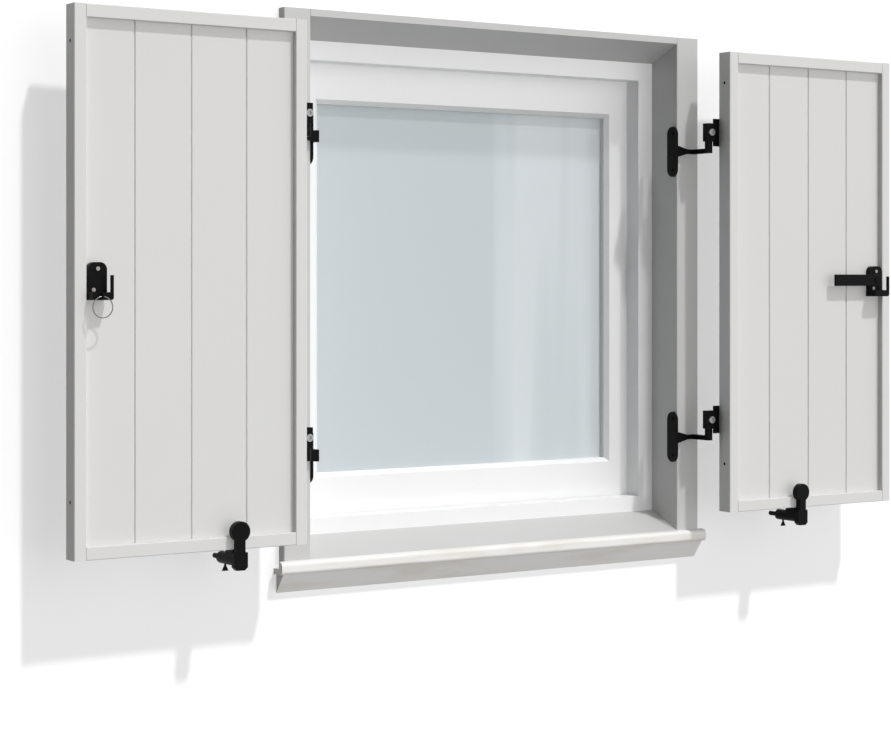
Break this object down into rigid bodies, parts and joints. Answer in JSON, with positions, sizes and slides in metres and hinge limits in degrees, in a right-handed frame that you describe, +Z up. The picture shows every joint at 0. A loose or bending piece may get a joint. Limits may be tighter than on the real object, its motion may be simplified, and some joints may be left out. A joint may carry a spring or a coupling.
{
  "type": "boarded window shutters",
  "caption": "Boarded shutters hung open on a window casing with sill, frame and sash, with black strap hinges, latch and turn-buttons.",
  "frame": {"origin": "centre of the sill's flat underside", "axes": "+Z up, +X to the right seen from the street, -Y towards the street and the viewer"},
  "size_m": [2.4124, 0.4217, 1.372],
  "materials": {
    "casing_paint": "satin paint",
    "sill_paint": "satin paint",
    "window_paint": "smooth white",
    "leaf_paint": "satin paint",
    "black_iron": "satin black",
    "bright_steel": "brushed",
    "glass": "clear"
  },
  "bodies": {
    "casing": {"casing_jamb_left": "casing_paint", "casing_jamb_right": "casing_paint", "casing_head": "casing_paint", "casing_bottom": "casing_paint", "sill": "sill_paint", "window_frame": "window_paint", "sash_hinge_pintles": "bright_steel", "left_jamb_plate_lower": "black_iron", "left_jamb_plate_upper": "black_iron", "right_jamb_plate_lower": "black_iron", "right_jamb_plate_upper": "black_iron", "jamb_plate_screws": "black_iron"},
    "sash": {"window_sash": "window_paint", "glass_pane": "glass", "glazing_beads": "window_paint", "sash_hinge_sleeves": "bright_steel", "sash_handle_rose": "bright_steel"},
    "sash_handle": {"sash_handle_lever": "bright_steel"},
    "left_leaf": {"left_stile_hinge": "leaf_paint", "left_stile_meeting": "leaf_paint", "left_rail_top": "leaf_paint", "left_rail_bottom": "leaf_paint", "left_board_1": "leaf_paint", "left_board_2": "leaf_paint", "left_board_3": "leaf_paint", "left_board_4": "leaf_paint", "left_hinge_bracket_upper": "black_iron", "left_hinge_bracket_lower": "black_iron", "left_bracket_bolts": "bright_steel", "left_edge_screws": "black_iron", "left_keeper": "black_iron", "left_screws": "black_iron", "left_stop_tube": "black_iron"},
    "left_stop_rod": {"left_stop_rod": "black_iron"},
    "left_wing_screw": {"left_wing_screw": "black_iron"},
    "left_turn_button": {"left_turn_button": "black_iron"},
    "right_leaf": {"right_stile_hinge": "leaf_paint", "right_stile_meeting": "leaf_paint", "right_rail_top": "leaf_paint", "right_rail_bottom": "leaf_paint", "right_board_1": "leaf_paint", "right_board_2": "leaf_paint", "right_board_3": "leaf_paint", "right_board_4": "leaf_paint", "right_hinge_bracket_upper": "black_iron", "right_hinge_bracket_lower": "black_iron", "right_bracket_bolts": "bright_steel", "right_edge_screws": "black_iron", "right_keeper": "black_iron", "right_screws": "black_iron", "right_stop_tube": "black_iron", "right_bar_pivot": "black_iron"},
    "right_stop_rod": {"right_stop_rod": "black_iron"},
    "right_wing_screw": {"right_wing_screw": "black_iron"},
    "right_turn_button": {"right_turn_button": "black_iron"},
    "left_ring": {"left_keeper_ring": "bright_steel"},
    "latch_bar": {"right_latch_bar": "black_iron"}
  },
  "joints": [
    {"name": "left_leaf_swing", "type": "hinge", "parent": "casing", "child": "left_leaf", "pos_m": [-0.6039, -0.174, 0.729], "axis": [0, 0, 1], "range_deg": [0, 180]},
    {"name": "right_leaf_swing", "type": "hinge", "parent": "casing", "child": "right_leaf", "pos_m": [0.6039, -0.174, 0.729], "axis": [0, 0, -1], "range_deg": [0, 180]},
    {"name": "latch_bar_swing", "type": "hinge", "parent": "right_leaf", "child": "latch_bar", "pos_m": [1.15, -0.233, 0.7337], "axis": [0, 1, 0], "range_deg": [0, 180]},
    {"name": "pull_ring_swing", "type": "hinge", "parent": "left_leaf", "child": "left_ring", "pos_m": [-1.1515, -0.2524, 0.6978], "axis": [-1, 0, 0], "range_deg": [0, 80]},
    {"name": "sash_swing", "type": "hinge", "parent": "casing", "child": "sash", "pos_m": [0.532, 0.128, 0.729], "axis": [0, 0, -1], "range_deg": [0, 90]},
    {"name": "sash_handle_turn", "type": "hinge", "parent": "sash", "child": "sash_handle", "pos_m": [-0.488, 0.14, 0.729], "axis": [0, -1, 0], "range_deg": [0, 90]},
    {"name": "left_stop_rod_slide", "type": "slide", "parent": "left_leaf", "child": "left_stop_rod", "axis": [0, 1, 0], "range_m": [-0.015, 0.015]},
    {"name": "left_turn_button_swing", "type": "hinge", "parent": "left_leaf", "child": "left_turn_button", "pos_m": [-0.811, -0.235, 0.1044], "axis": [0, 1, 0], "range_deg": [-90, 90]},
    {"name": "left_wing_screw_turn", "type": "hinge", "parent": "left_leaf", "child": "left_wing_screw", "pos_m": [-0.811, -0.165, 0.0844], "axis": [0, 0, 1], "range_deg": [-90, 90]},
    {"name": "right_stop_rod_slide", "type": "slide", "parent": "right_leaf", "child": "right_stop_rod", "axis": [0, 1, 0], "range_m": [-0.015, 0.015]},
    {"name": "right_turn_button_swing", "type": "hinge", "parent": "right_leaf", "child": "right_turn_button", "pos_m": [0.871, -0.235, 0.1044], "axis": [0, 1, 0], "range_deg": [-90, 90]},
    {"name": "right_wing_screw_turn", "type": "hinge", "parent": "right_leaf", "child": "right_wing_screw", "pos_m": [0.871, -0.165, 0.0844], "axis": [0, 0, 1], "range_deg": [-90, 90]}
  ]
}
